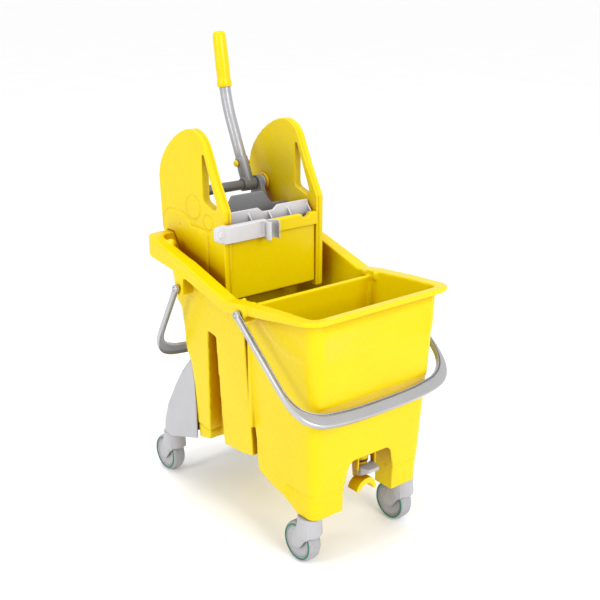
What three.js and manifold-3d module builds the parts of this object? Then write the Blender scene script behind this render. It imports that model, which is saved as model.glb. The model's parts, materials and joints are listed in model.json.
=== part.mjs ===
// Mop bucket on casters with a lever wringer. Millimetres, +Z up.
// Origin: on the floor, under the middle of the overall length and width.
// The front (low, drain end) faces -Y. The wringer and the lever are at +Y. +X is the right-hand side
// of someone who looks at the front.
import * as THREE from 'three';
import { mergeVertices } from 'three/addons/utils/BufferGeometryUtils.js';
import Module from 'manifold-3d';

const wasm = await Module();
wasm.setup();

// ---------------------------------------------------------------- driving dimensions
const GAP = 0.3; // clearance between neighbouring pieces
const WALL = 4; // moulded wall of the bucket
const PANEL = 4; // moulded wall of the wringer

// bucket body, measured on its outside faces
const LEG_BOTTOM = 102;
const REF_LOW = 105; // the two heights between which the walls taper
const REF_HIGH = 480;
const HALF_LOW = 135.5;
const HALF_HIGH = 153;
const FRONT_LOW = -250.8;
const FRONT_HIGH = -269.5;
const BODY_CORNER = 20;
const BODY_TOP = 580;
// rear wall: height and y, with a step under the rim and a shelf for the carriage
const REAR_WALL = [
  [96, 125], [146, 127.5], [297, 136], [330, 151], [377, 153], [418, 158], [430, 172], [480, 179], [512, 184],
  [550, 208], [BODY_TOP, 212],
];

// rim
const RIM_HALF_FRONT = 175;
const RIM_HALF = 178.6;
const RIM_FRONT = -286.6;
const RIM_REAR = 229;
const RIM_CORNER_FRONT = 34;
const RIM_CORNER_REAR = 26;
const RIM_SKIN = 4;
const KINK_Y = -50; // where the side rim has its lowest point
const RIM_TOP = [
  [-300, 505], [-184, 499], [-96, 492], [KINK_Y, 486], [82, 525.5], [204, 555],
  [250, 556]];
const SKIRT_BOTTOM = [
  [250, 519], [126, 502.8], [70, 492.6], [KINK_Y, 462], [-126, 476], [-258, 494], [-300, 495.5],
];

// front chamber, its raised floor, legs and arch
const WELL_FLOOR = 211;
const FLOOR_SKIN = 5;
const ARCH_HALF = 62;
const ARCH_SHOULDER = 155;
const ARCH_HALF_TOP = 50;
const ARCH_TOP = 200;
const LEG_REAR = -203;

// slot between the two tanks, and the deep groove on each side of the rear tank
const SLOT = [[-81, 425], [-68, 425], [-75, 90], [-91, 90]];
const GROOVE = [[28, 386, 3], [55, 392, 3], [78, 90], [22, 90]];
const GROOVE_HALF = 106; // half distance between the floors of the two deep grooves

// casters
const CASTER_X = 119.4;
const FRONT_CASTER_Y = -222.2;
const REAR_CASTER_Y = 242;
const TRAIL = 20.9;
const WHEEL_R = 40;
const WHEEL_SIDES = 24;
const TREAD_R = WHEEL_R / Math.cos(Math.PI / WHEEL_SIDES); // puts a flat facet on the floor
const TYRE_HALF = 13.2;
const RING_R = 34.4;
const HUB_FACE = 14.4;
const CUP_R = 23.5;
const CUP_TOP = 101;
const CUP_BOTTOM = 63;
const BLADE_IN = 15.2;
const BLADE_OUT = 18.8;
const STEM_R = 5.5;
const AXLE_R = 4;

// bails
const BAIL_ARM_IN = 182;
const BAIL_ARM_OUT = 192;
const BAIL_THICK = 11;
const BAIL_GRIP = 12.5; // half width of the hand grip, in the plane of the hoop
const LUG_FACE = 181;
const PIN_R = 4;
const FRONT_BAIL = { y: -98, z: 474.5, reach: 249.5, angle: 40, side: -1 };
const REAR_BAIL = { y: 102, z: 474, reach: 200, angle: 60, side: 1 };

// wringer
const CHEEK_IN = 104.5;
const CHEEK_OUT = 121.7;
const CHEEK_FRONT = 28;
const CHEEK_BOTTOM = 440;
const CHEEK_SHOULDER = 627;
const CHEEK_TOP = 770.5;
const PANEL_HALF = CHEEK_IN - GAP;
const SHAFT_Y = 203;
const SHAFT_Z = 629;
const SHAFT_R = 10.5;
const LEVER_X = 63.5;
const LEVER_R = 12;
const BEND = { y: 275, z: 792 };
const BEND_RUN = 42; // straight lengths that the bend takes from each side
const LEVER_END = { y: 297, z: 935 };
const PLATE_HINGE = { y: 92, z: 462 };
const CRANK_TIP = { y: 166, z: 563 };
const CRANK_X = 84;
const CRANK_HALF = 5;

// ---------------------------------------------------------------- colours
const PALETTE = {
  yellow: { color: 0xffd900, roughness: 0.38, metalness: 0 },
  lightGrey: { color: 0xc4c4c8, roughness: 0.45, metalness: 0 },
  darkGrey: { color: 0x8a8a8e, roughness: 0.5, metalness: 0 },
  white: { color: 0xeeeef2, roughness: 0.42, metalness: 0 },
  green: { color: 0x16845c, roughness: 0.5, metalness: 0 },
  tyre: { color: 0xb4b4b8, roughness: 0.7, metalness: 0 },
  satinSteel: { color: 0xa9abb0, roughness: 0.35, metalness: 0.9 },
  tubeGrey: { color: 0xaaacb0, roughness: 0.4, metalness: 0.6 },
  steel: { color: 0xb8babd, roughness: 0.3, metalness: 1 },
  black: { color: 0x222224, roughness: 0.7, metalness: 0 },
};

const group = new THREE.Group();
group.name = 'mop_bucket_with_wringer';

// ---------------------------------------------------------------- solids and booleans
function solid(geometry) {
  const bare = geometry.clone();
  bare.deleteAttribute('normal');
  bare.deleteAttribute('uv');
  const merged = mergeVertices(bare, 1e-3);
  const kept = [];
  const index = merged.index.array;
  for (let i = 0; i < index.length; i += 3) {
    const [a, b, c] = [index[i], index[i + 1], index[i + 2]];
    if (a !== b && b !== c && c !== a) kept.push(a, b, c);
  }
  return new wasm.Manifold(new wasm.Mesh({
    numProp: 3,
    vertProperties: new Float32Array(merged.attributes.position.array),
    triVerts: new Uint32Array(kept),
  }));
}

function geometryOf(manifold) {
  const mesh = manifold.getMesh();
  const geometry = new THREE.BufferGeometry();
  const stride = mesh.numProp;
  const count = mesh.vertProperties.length / stride;
  const position = new Float32Array(count * 3);
  for (let i = 0; i < count; i += 1) {
    for (let k = 0; k < 3; k += 1) position[i * 3 + k] = mesh.vertProperties[i * stride + k];
  }
  geometry.setAttribute('position', new THREE.BufferAttribute(position, 3));
  geometry.setIndex(new THREE.BufferAttribute(new Uint32Array(mesh.triVerts), 1));
  return geometry;
}

function joined(solids) {
  return solids.reduce((sum, next) => sum.add(next));
}

function addPiece(name, manifold, finish) {
  const geometry = geometryOf(manifold.asOriginal());
  geometry.computeVertexNormals();
  const mesh = new THREE.Mesh(geometry, new THREE.MeshStandardMaterial(PALETTE[finish]));
  mesh.name = name;
  group.add(mesh);
}

// ---------------------------------------------------------------- outlines
const ARC_STEP = THREE.MathUtils.degToRad(18);

// Points [a, b] or [a, b, radius]; a corner with a radius becomes an arc.
function rounded(corners, step = ARC_STEP) {
  const points = [];
  corners.forEach(([a, b, radius], i) => {
    if (!radius) {
      points.push([a, b]);
      return;
    }
    const here = new THREE.Vector2(a, b);
    const before = corners[(i + corners.length - 1) % corners.length];
    const after = corners[(i + 1) % corners.length];
    const back = new THREE.Vector2(before[0], before[1]).sub(here).normalize();
    const ahead = new THREE.Vector2(after[0], after[1]).sub(here).normalize();
    const half = Math.acos(THREE.MathUtils.clamp(back.dot(ahead), -1, 1)) / 2;
    const centre = back.clone().add(ahead).normalize().multiplyScalar(radius / Math.sin(half)).add(here);
    const start = back.multiplyScalar(radius / Math.tan(half)).add(here).sub(centre);
    const end = ahead.multiplyScalar(radius / Math.tan(half)).add(here).sub(centre);
    let sweep = end.angle() - start.angle();
    if (sweep > Math.PI) sweep -= 2 * Math.PI;
    if (sweep < -Math.PI) sweep += 2 * Math.PI;
    const count = Math.max(1, Math.ceil(Math.abs(sweep) / step));
    for (let k = 0; k <= count; k += 1) {
      const angle = start.angle() + (sweep * k) / count;
      points.push([centre.x + radius * Math.cos(angle), centre.y + radius * Math.sin(angle)]);
    }
  });
  return points;
}

function circle(a, b, radius, sides) {
  return Array.from({ length: sides }, (_, k) => {
    const angle = (2 * Math.PI * (k + 0.5)) / sides;
    return [a + radius * Math.cos(angle), b + radius * Math.sin(angle)];
  });
}

// Points on a cubic curve after its start point.
function curve(p0, p1, p2, p3, count) {
  const bezier = new THREE.CubicBezierCurve(...[p0, p1, p2, p3].map(([a, b]) => new THREE.Vector2(a, b)));
  return bezier.getPoints(count).slice(1).map((p) => [p.x, p.y]);
}

function flatExtrusion(points, depth) {
  const shape = new THREE.Shape(points.map(([a, b]) => new THREE.Vector2(a, b)));
  return new THREE.ExtrudeGeometry(shape, { depth, bevelEnabled: false, steps: 1 });
}

// Outline in (y, z), swept from x = low to x = high.
function prismX(points, low, high) {
  const geometry = flatExtrusion(points, high - low);
  const turn = new THREE.Matrix4().makeBasis(
    new THREE.Vector3(0, 1, 0), new THREE.Vector3(0, 0, 1), new THREE.Vector3(1, 0, 0),
  );
  return solid(geometry.applyMatrix4(turn).translate(low, 0, 0));
}

// Outline in (x, z), swept from y = low to y = high.
function prismY(points, low, high) {
  return solid(flatExtrusion(points, high - low).rotateX(Math.PI / 2).translate(0, high, 0));
}

// Outline in (x, y), swept from z = low to z = high.
function prismZ(points, low, high) {
  return solid(flatExtrusion(points, high - low).translate(0, 0, low));
}

function block(x0, x1, y0, y1, z0, z1) {
  return prismZ([[x0, y0], [x1, y0], [x1, y1], [x0, y1]], z0, z1);
}

// The same outline on both sides of the middle plane.
function bothSides(points, near, far) {
  return prismX(points, near, far).add(prismX(points, -far, -near));
}

// Turned solid about the X axis through (y, z): profile points are (radius, x).
function turnedX(profile, y, z, sides) {
  const points = profile.map(([radius, x]) => new THREE.Vector2(radius, x));
  const lathe = new THREE.LatheGeometry(points, sides).rotateY(Math.PI / sides);
  return solid(lathe.rotateZ(-Math.PI / 2).translate(0, y, z));
}

// Turned solid about the Z axis through (x, y): profile points are (radius, z).
function turnedZ(profile, x, y, sides) {
  const points = profile.map(([radius, z]) => new THREE.Vector2(radius, z));
  const lathe = new THREE.LatheGeometry(points, sides).rotateY(Math.PI / sides);
  return solid(lathe.rotateX(Math.PI / 2).translate(x, y, 0));
}

// Convex rings of the same number of points, stacked and skinned.
function stack(rings) {
  const sides = rings[0].length;
  const shape = new THREE.Shape(circle(0, 0, 1, sides).map(([a, b]) => new THREE.Vector2(a, b)));
  const steps = rings.length - 1;
  const geometry = new THREE.ExtrudeGeometry(shape, { depth: steps, bevelEnabled: false, steps });
  const position = geometry.attributes.position;
  for (let i = 0; i < position.count; i += 1) {
    const turn = Math.atan2(position.getY(i), position.getX(i)) / (2 * Math.PI) + 1;
    const k = Math.round(turn * sides - 0.5) % sides;
    const ring = rings[Math.round(position.getZ(i))];
    position.setXYZ(i, ...ring[k]);
  }
  return solid(geometry);
}

function roundedRect(half, front, rear, radius, z, step = ARC_STEP) {
  const right = [[half, front, radius], [half, rear, radius]];
  const corners = [...right, [-half, rear, radius], [-half, front, radius]];
  return rounded(corners, step).map(([x, y]) => [x, y, z]);
}

function between(table, at) {
  const next = Math.max(1, table.findIndex(([key]) => key >= at));
  const [low, lowValue] = table[next - 1];
  const [high, highValue] = table[next];
  return lowValue + ((highValue - lowValue) * (at - low)) / (high - low);
}

// ---------------------------------------------------------------- bucket
function halfWidth(z) {
  return HALF_LOW + ((HALF_HIGH - HALF_LOW) * (z - REF_LOW)) / (REF_HIGH - REF_LOW);
}

function frontWall(z) {
  return FRONT_LOW + ((FRONT_HIGH - FRONT_LOW) * (z - REF_LOW)) / (REF_HIGH - REF_LOW);
}

// The tapered tank shape, moved inwards by inset.
function tankShape(inset, lowest = REAR_WALL[0][0]) {
  const levels = REAR_WALL.map(([z]) => z).filter((z) => z > lowest);
  return stack([lowest, ...levels].map((z) => roundedRect(
    halfWidth(z) - inset,
    frontWall(z) + inset,
    between(REAR_WALL, z) - inset,
    BODY_CORNER - inset,
    z,
    Math.PI / 8,
  )));
}

function underside() {
  const sideArch = curve([-88, 148], [-118, 131], [-165, 128], [-204, LEG_BOTTOM], 7);
  return [[300, 134], [300, 700], [-320, 700], [-320, LEG_BOTTOM], ...sideArch.reverse(),
    [-88, 148], [-74, 169], [-40, 161], [24, 157], [76, 147], [130, 134]];
}

function rimOutline(inset) {
  return rounded([
    [RIM_HALF_FRONT - inset, RIM_FRONT + inset, RIM_CORNER_FRONT - inset],
    [RIM_HALF - inset, KINK_Y],
    [RIM_HALF - inset, RIM_REAR - inset, RIM_CORNER_REAR - inset],
    [-RIM_HALF + inset, RIM_REAR - inset, RIM_CORNER_REAR - inset],
    [-RIM_HALF + inset, KINK_Y],
    [-RIM_HALF_FRONT + inset, RIM_FRONT + inset, RIM_CORNER_FRONT - inset],
  ]);
}

function lowered(line, drop) {
  return line.map(([y, z]) => [y, z - drop]);
}

function rim() {
  const band = prismX([...RIM_TOP, ...SKIRT_BOTTOM], -200, 200);
  const below = prismX([...lowered(RIM_TOP, RIM_SKIN), [250, 400], [-300, 400]], -200, 200);
  const outside = prismZ(rimOutline(0), 440, 570).intersect(band);
  const inside = prismZ(rimOutline(RIM_SKIN), 430, 575).intersect(below);
  return outside.subtract(inside);
}

function lug(bail) {
  const top = bail.z + (bail.side < 0 ? 12 : 30);
  const outline = rounded([[bail.y - 12, bail.z - 15, 9], [bail.y + 12, bail.z - 15, 9],
    [bail.y + 14, top], [bail.y - 14, top]]);
  return bothSides(outline, HALF_LOW, LUG_FACE);
}

function lugBore(bail) {
  return bothSides(circle(bail.y, bail.z, PIN_R + GAP, 14), HALF_HIGH + 4, 220);
}

function frontWell() {
  const rearFace = [[-91, WELL_FLOOR], [-85, 425], [-88, 480], [-88, 600]];
  const region = [[-300, WELL_FLOOR], ...rearFace, [-300, 600]];
  return tankShape(WALL).intersect(prismX(region, -200, 200));
}

function rearWell() {
  const region = [[-77, 600], [-77, 480], [-64, 430], [-69, 174], [-40, 166], [24, 162], [76, 152], [130, 139],
    [230, 139], [230, 600]];
  const grooveWall = [[24, 390], [59, 396], [82, 90], [18, 90]];
  return tankShape(WALL)
    .intersect(prismX(region, -200, 200))
    .subtract(bothSides(grooveWall, GROOVE_HALF - WALL, 200));
}

function legs() {
  const plate = block(ARCH_HALF, 150, -262, LEG_REAR, 90, LEG_BOTTOM + 7);
  const wall = block(ARCH_HALF, ARCH_HALF + WALL, -262, LEG_REAR, 90, WELL_FLOOR);
  const boss = turnedZ([[0, 90], [20, 90], [20, WELL_FLOOR], [0, WELL_FLOOR]], CASTER_X, FRONT_CASTER_Y, 20);
  const right = joined([plate, wall, boss]);
  return right.add(right.mirror([1, 0, 0]));
}

// Open space under the raised floor of the front chamber.
function underFloor() {
  const region = [[-300, 80], [-93, 80], [-91, WELL_FLOOR - FLOOR_SKIN], [-300, WELL_FLOOR - FLOOR_SKIN]];
  return tankShape(WALL, 92).intersect(prismX(region, -200, 200)).subtract(legs());
}

function archCut() {
  const outline = rounded([[-ARCH_HALF, 80], [ARCH_HALF, 80], [ARCH_HALF, ARCH_SHOULDER, 10],
    [ARCH_HALF_TOP, ARCH_TOP, 14], [-ARCH_HALF_TOP, ARCH_TOP, 14], [-ARCH_HALF, ARCH_SHOULDER, 10]]);
  return prismY(outline, -320, -240);
}

function stemBore(x, y, top) {
  return turnedZ([[0, 90], [STEM_R + GAP, 90], [STEM_R + GAP, top], [0, top]], x, y, 14);
}

const DRAIN = { x: 0, y: -226, bore: 11, boss: 17, bottom: 184 };

function drainBoss() {
  const profile = [[0, DRAIN.bottom], [DRAIN.boss, DRAIN.bottom], [DRAIN.boss, 209], [0, 209]];
  return turnedZ(profile, DRAIN.x, DRAIN.y, 24);
}

function drainBore() {
  return turnedZ([[0, 170], [DRAIN.bore, 170], [DRAIN.bore, 230], [0, 230]], DRAIN.x, DRAIN.y, 24);
}

function drainEars() {
  return bothSides(rounded([[-246, 160, 6], [-234, 160, 6], [-231, 208], [-249, 208]]), 19, 23);
}

function bucketBody() {
  const belowRim = prismX([...RIM_TOP, [250, 60], [-300, 60]], -200, 200);
  const shell = joined([tankShape(0), lug(FRONT_BAIL), lug(REAR_BAIL)])
    .intersect(prismX(underside(), -200, 200))
    .intersect(belowRim)
    .add(rim())
    .subtract(frontWell())
    .subtract(rearWell())
    .subtract(underFloor())
    .subtract(archCut())
    .subtract(prismX(SLOT, -200, 200))
    .subtract(bothSides(rounded(GROOVE), GROOVE_HALF, 220))
    .subtract(block(-halfWidth(REF_HIGH) + WALL, halfWidth(REF_HIGH) - WALL, -92, -72, REF_HIGH, 600));
  return joined([shell, drainBoss(), drainEars()])
    .subtract(drainBore())
    .subtract(bothSides(circle(-240, 166, 2 + GAP, 10), 10, 30))
    .subtract(lugBore(FRONT_BAIL))
    .subtract(lugBore(REAR_BAIL))
    .subtract(stemBore(CASTER_X, FRONT_CASTER_Y, 152))
    .subtract(stemBore(-CASTER_X, FRONT_CASTER_Y, 152));
}

// ---------------------------------------------------------------- drain tap
function drainParts() {
  const { x, y, bore, bottom } = DRAIN;
  const plug = [[0, 186], [bore - 1.5, 186], [bore - 1.5, 211.5], [15, 211.5], [13, 216], [0, 217]];
  addPiece('drain_plug', turnedZ(plug, x, y, 20), 'black');
  const seal = [[12, bottom - 4.5], [16, bottom - 4.5], [16, bottom - GAP], [12, bottom - GAP]];
  seal.push(seal[0]);
  addPiece('drain_seal', turnedZ(seal, x, y, 20), 'black');

  // the spout arches over from the left and turns down on the right
  const arched = [[-30, 130], ...curve([-30, 130], [-26, 146], [-12, 151], [0, 151], 4),
    ...curve([0, 151], [12, 151], [17, 140], [21, 125], 4), [14, 123],
    ...curve([14, 123], [11, 134], [5, 140], [-3, 139], 4),
    ...curve([-3, 139], [-13, 138], [-20, 132], [-24, 126], 4)];
  const scoop = prismY(arched, -252, -226);
  const throat = turnedZ([[9, 146], [13, 146], [15.5, bottom - 5], [11, bottom - 5], [9, 146]], x, y, 20);
  addPiece('drain_spout', joined([throat, scoop]), 'yellow');

  const paddle = rounded([[-236, 158, 3], [-246, 158, 3], [-268, 170, 1.5], [-266, 175, 2], [-244, 176, 3],
    [-236, 174, 3]]);
  const plan = [[18.5, -230], [18.5, -250], [11, -270, 7], [-11, -270, 7], [-18.5, -250], [-18.5, -230]];
  const blade = prismX(paddle, -18.5, 18.5).intersect(prismZ(rounded(plan), 140, 190));
  const clear = turnedZ([[0, 150], [19, 150], [16.5, 180], [0, 180]], x, y, 24);
  // moulded trunnions turn in the ears of the drain boss
  const trunnions = bothSides(circle(-240, 166, 2, 10), 16.5, 23);
  addPiece('drain_paddle', blade.subtract(clear).add(trunnions), 'lightGrey');
}

// ---------------------------------------------------------------- rear carriage
const CARRIAGE_HALF = 143;
const CARRIAGE_REAR = [
  [60, 256], [96, 256], [132, 252], [173, 237], [226, 205], [269, 175], [300, 147], [330, 120],
];

function carriageShape(inset, lowest, highest) {
  const levels = CARRIAGE_REAR.map(([z]) => z).filter((z) => z > lowest && z < highest);
  return stack([lowest, ...levels, highest].map((z) => roundedRect(
    CARRIAGE_HALF - inset,
    80,
    between(CARRIAGE_REAR, z) - inset,
    18 - inset,
    z,
    Math.PI / 8,
  )));
}

function carriage() {
  const outside = carriageShape(0, LEG_BOTTOM, 306);
  const hollow = carriageShape(5, 112, 290);
  const boss = turnedZ([[0, LEG_BOTTOM], [20, LEG_BOTTOM], [20, 165], [0, 165]], CASTER_X, REAR_CASTER_Y, 20)
    .intersect(carriageShape(1, LEG_BOTTOM, 200));
  const rib = block(70, 74, 120, 236, LEG_BOTTOM, 230).intersect(carriageShape(1, LEG_BOTTOM, 260));
  const half = boss.add(rib);
  const bottomCut = prismX([[60, 60], [60, 150], [118, 134], [214, LEG_BOTTOM], [214, 60]], -200, 200);
  const middle = block(-66, 66, 60, 213, 90, 112);
  return outside
    .subtract(hollow)
    .add(half)
    .add(half.mirror([1, 0, 0]))
    .subtract(tankShape(-0.5, 92))
    .subtract(block(-200, 200, 60, 118, 90, 320))
    .subtract(bottomCut)
    .subtract(middle)
    .subtract(stemBore(CASTER_X, REAR_CASTER_Y, 152))
    .subtract(stemBore(-CASTER_X, REAR_CASTER_Y, 152));
}

// ---------------------------------------------------------------- casters
function caster(tag, x, y) {
  const wheelY = y + TRAIL;
  const ringed = (profile) => {
    const closed = [...profile, profile[0]];
    return turnedX(closed, wheelY, WHEEL_R, WHEEL_SIDES).translate([x, 0, 0]);
  };

  const cupProfile = [
    [0, CUP_BOTTOM], [CUP_R, CUP_BOTTOM], [CUP_R, CUP_TOP - 2], [CUP_R - 2, CUP_TOP], [0, CUP_TOP],
  ];
  const cup = turnedZ(cupProfile, x, y, 24);
  const bladeOutline = rounded([[y - 13, 62], [y + 10, 32, 8], [wheelY + 4, 29, 9], [wheelY + 9, 42, 9],
    [y + 14, 72], [y + 13, 98], [y - 13, 98]], Math.PI / 6);
  const blades = bothSides(bladeOutline, BLADE_IN, BLADE_OUT).translate([x, 0, 0]);
  const wheelRoom = prismX(circle(wheelY, WHEEL_R, WHEEL_R + 2, 24), x - BLADE_IN, x + BLADE_IN);
  const fork = cup.add(blades)
    .subtract(wheelRoom)
    .subtract(turnedZ([[0, 84], [STEM_R + GAP, 84], [STEM_R + GAP, 110], [0, 110]], x, y, 14))
    .subtract(prismX(circle(wheelY, WHEEL_R, AXLE_R + 0.05, 14), x - 30, x + 30));
  addPiece(`caster_fork_${tag}`, fork, 'lightGrey');

  const stem = [[0, 84.5], [STEM_R, 84.5], [STEM_R, 150], [STEM_R - 1.5, 151.5], [0, 151.5]];
  addPiece(`caster_stem_${tag}`, turnedZ(stem, x, y, 14), 'steel');
  const axle = prismX(circle(wheelY, WHEEL_R, AXLE_R, 14), x - BLADE_OUT, x + BLADE_OUT);
  addPiece(`caster_axle_${tag}`, axle, 'steel');

  const tyre = ringed([[30, -TYRE_HALF], [36.5, -TYRE_HALF], [39, -10], [TREAD_R, -5], [TREAD_R, 5], [39, 10],
    [36.5, TYRE_HALF], [30, TYRE_HALF]]);
  addPiece(`caster_tyre_${tag}`, tyre, 'tyre');
  const hub = ringed([[AXLE_R + 0.1, -HUB_FACE], [12, -HUB_FACE], [29.7, -TYRE_HALF + 0.7],
    [29.7, TYRE_HALF - 0.7], [12, HUB_FACE], [AXLE_R + 0.1, HUB_FACE]]);
  addPiece(`caster_hub_${tag}`, hub, 'lightGrey');
  for (const [side, sign] of [['left', -1], ['right', 1]]) {
    const near = sign * (TYRE_HALF + 0.1);
    const far = sign * (HUB_FACE + 0.2);
    const [low, high] = sign < 0 ? [far, near] : [near, far];
    const [inner, outer] = [RING_R - 1.6, RING_R + 1.6];
    const guard = ringed([[inner, low], [outer, low], [outer, high], [inner, high]]);
    addPiece(`caster_guard_${side}_${tag}`, guard, 'green');
  }
}

// ---------------------------------------------------------------- bails
// Half of the hoop outline in (x, t): t is the distance from the pivot, in the plane of the hoop.
function hoopOutline(reach, inset) {
  const outer = BAIL_ARM_OUT - inset;
  const inner = BAIL_ARM_IN + inset;
  const end = 6 - inset;
  const low = reach + BAIL_GRIP - inset;
  const high = reach - BAIL_GRIP + inset;
  const right = [
    [outer, -end],
    [outer, reach - 82],
    ...curve([outer, reach - 82], [outer, reach - 33], [178, low - 18], [138, low - 8], 6),
    ...curve([138, low - 8], [95, low], [45, low], [0, low], 3),
  ];
  const rightInner = [
    ...curve([0, high], [45, high], [90, high - 1], [130, high - 8], 3),
    ...curve([130, high - 8], [165, high - 17], [inner, reach - 50], [inner, reach - 86], 6),
    [inner, -end],
  ];
  const flip = (points) => points.map(([x, t]) => [-x, t]);
  return [...right, ...flip(right.slice(0, -1)).reverse(), ...flip(rightInner.slice().reverse()),
    [0, high], ...rightInner];
}

function bailMatrix(bail) {
  const angle = THREE.MathUtils.degToRad(bail.angle);
  const along = new THREE.Vector3(0, bail.side * Math.cos(angle), -Math.sin(angle));
  const across = new THREE.Vector3(1, 0, 0);
  const normal = new THREE.Vector3().crossVectors(across, along);
  return new THREE.Matrix4().makeBasis(across, along, normal).setPosition(0, bail.y, bail.z);
}

function hoop(bail, inset, low, high) {
  const geometry = flatExtrusion(hoopOutline(bail.reach, inset), high - low).translate(0, 0, low);
  return solid(geometry.applyMatrix4(bailMatrix(bail)));
}

function bailParts(tag, bail) {
  const half = BAIL_THICK / 2;
  // the channel is open towards the upper face of the resting hoop
  const channel = bail.side < 0 ? hoop(bail, 2.5, -half - 1, -half + 4) : hoop(bail, 2.5, half - 4, half + 1);
  const hub = bothSides(circle(bail.y, bail.z, 9, 16), BAIL_ARM_IN, BAIL_ARM_OUT);
  const bore = prismX(circle(bail.y, bail.z, PIN_R + 0.1, 14), -210, 210);
  addPiece(`${tag}_bail`, hoop(bail, 0, -half, half).subtract(channel).add(hub).subtract(bore), 'satinSteel');
  for (const [side, sign] of [['left', -1], ['right', 1]]) {
    const [low, high] = sign < 0 ? [-BAIL_ARM_OUT, -160] : [160, BAIL_ARM_OUT];
    addPiece(`${tag}_bail_pin_${side}`, prismX(circle(bail.y, bail.z, PIN_R, 14), low, high), 'steel');
  }
}

// ---------------------------------------------------------------- wringer
function cheekOutline(inset) {
  const nose = [CHEEK_FRONT + inset, CHEEK_SHOULDER];
  const brow = [85 + inset * 0.9, 738];
  const crown = [134, CHEEK_TOP - inset];
  const back = [254 - inset, 665];
  return [
    [CHEEK_FRONT + inset, CHEEK_BOTTOM],
    nose,
    [60 + inset, 684],
    brow,
    ...curve(brow, [94 + inset, 757 - inset * 0.5], [112, CHEEK_TOP - inset], crown, 5),
    ...curve(crown, [172, CHEEK_TOP - inset], [248 - inset, 722], back, 8),
    ...rounded([[249 - inset, 575 + inset], [247 - inset, 551 + inset, 7], [RIM_REAR + 1, 551 + inset]]),
    [RIM_REAR + 1, 556.4 + inset],
    [203.5, 555.8 + inset],
    [198 - inset, 548],
    [176 - inset, 508],
    [165 - inset, CHEEK_BOTTOM],
  ];
}

function cheekSlot(grow) {
  const low = [[45 - grow * 1.2, 620 - grow, 9], [98 + grow, 637 - grow * 1.3, 12]];
  return rounded([[98 + grow, 742 + grow * 2, 4], ...low]);
}

function cheek(side) {
  const put = (points, near, far) => (side < 0 ? prismX(points, -far, -near) : prismX(points, near, far));
  const [skinIn, skinOut] = [CHEEK_IN + 3.5, CHEEK_OUT - 3.5];
  const openFoot = [[CHEEK_FRONT + 5, 430], [160, 430], [160, 460], [CHEEK_FRONT + 5, 460]];
  const lighten = put(cheekOutline(5), skinIn, skinOut)
    .add(put(openFoot, skinIn, skinOut))
    .subtract(put(cheekSlot(4), CHEEK_IN, CHEEK_OUT));
  const socket = put(circle(SHAFT_Y, SHAFT_Z, SHAFT_R + 5, 20), CHEEK_IN, CHEEK_OUT);
  return put(cheekOutline(0), CHEEK_IN, CHEEK_OUT)
    .subtract(lighten.subtract(socket))
    .subtract(put(cheekSlot(0), CHEEK_IN - 5, CHEEK_OUT + 5));
}

function frontPanel() {
  const face = block(-PANEL_HALF, PANEL_HALF, 33, 33 + PANEL, 455, 590);
  const lip = prismX([[24, 571], [37, 571], [37, 597], [26, 597], [24, 595]], -PANEL_HALF, PANEL_HALF);
  const notch = prismY(circle(75, 600, 12, 20), 20, 45);
  return face.add(lip).subtract(notch);
}

function rearPanel() {
  return prismX([[150, 456], [154, 456], [162, 548], [158, 548]], -PANEL_HALF, PANEL_HALF);
}

function baseGrid() {
  const plate = block(-PANEL_HALF, PANEL_HALF, 38, 149, 444, 449);
  const slots = [-80, -48, -16, 16, 48, 80].map((x) => block(x - 9, x + 9, 50, 138, 440, 452));
  return plate.subtract(joined(slots));
}

function frontPlate() {
  const plate = prismX([[41, 452], [45, 452], [56, 619], [52, 619]], -103, 103);
  const dip = [[24, 618], [12, 609], [-12, 609], [-24, 618]];
  const crown = rounded([[-103, 440], [103, 440], [103, 618, 3], ...dip, [-103, 618, 3]]);
  const gusset = [[38.5, 560], [48.5, 560], [51.5, 610], [50, 610], [38.5, 598]];
  const gussets = [-99, -48, 0, 48, 99].map((x) => prismX(gusset, x - 1.6, x + 1.6));
  return joined([plate, ...gussets]).intersect(prismY(crown, 30, 70));
}

function rearPlate() {
  const lean = (z) => PLATE_HINGE.y + ((z - PLATE_HINGE.z) * 26) / 170;
  const top = 632;
  const section = [[lean(452), 452], [lean(452) + 5, 452], [lean(top) + 5, top], [lean(top), top]];
  const slab = prismX(section, -99, 99);
  const crown = rounded([[-99, 440], [99, 440], [99, 604, 4], [58, 606], [38, top, 3], [-38, top, 3],
    [-58, 606], [-99, 604, 4]]);
  const web = [[lean(480) + 4, 480], [lean(480) + 12, 484], [lean(596) + 14, 592], [lean(602) + 4, 602]];
  const ribs = [-54, -18, 18, 54].map((x) => prismX(web, x - 2, x + 2));
  // brackets that the cranks of the shaft push forwards
  const bracket = bothSides(rounded([[lean(546) + 3, 546], [CRANK_TIP.y, CRANK_TIP.z - 8, 6],
    [CRANK_TIP.y + 4, CRANK_TIP.z + 12, 8], [lean(602) + 3, 602]]), 74, 78);
  const barrel = prismX(circle(PLATE_HINGE.y + 2, PLATE_HINGE.z, 6, 16), -99, 99);
  const bore = prismX(circle(PLATE_HINGE.y + 2, PLATE_HINGE.z, 3 + GAP, 12), -120, 120);
  return joined([slab.intersect(prismY(crown, 60, 150)), ...ribs, bracket, barrel]).subtract(bore);
}

// Point at a distance along the lever from the shaft axis, and the tilt of its lower part.
const LEVER_TILT = Math.atan2(BEND.y - SHAFT_Y, BEND.z - SHAFT_Z);
const TOP_TILT = Math.atan2(LEVER_END.y - BEND.y, LEVER_END.z - BEND.z);

// Turned solid about a line that leaves (y, z) at a tilt from the vertical, in the plane x = LEVER_X.
function turnedAlong(profile, y, z, tilt, sides) {
  const points = profile.map(([radius, along]) => new THREE.Vector2(radius, along));
  const lathe = new THREE.LatheGeometry(points, sides).rotateX(Math.PI / 2).rotateX(-tilt);
  return solid(lathe.translate(LEVER_X, y, z));
}

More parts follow.
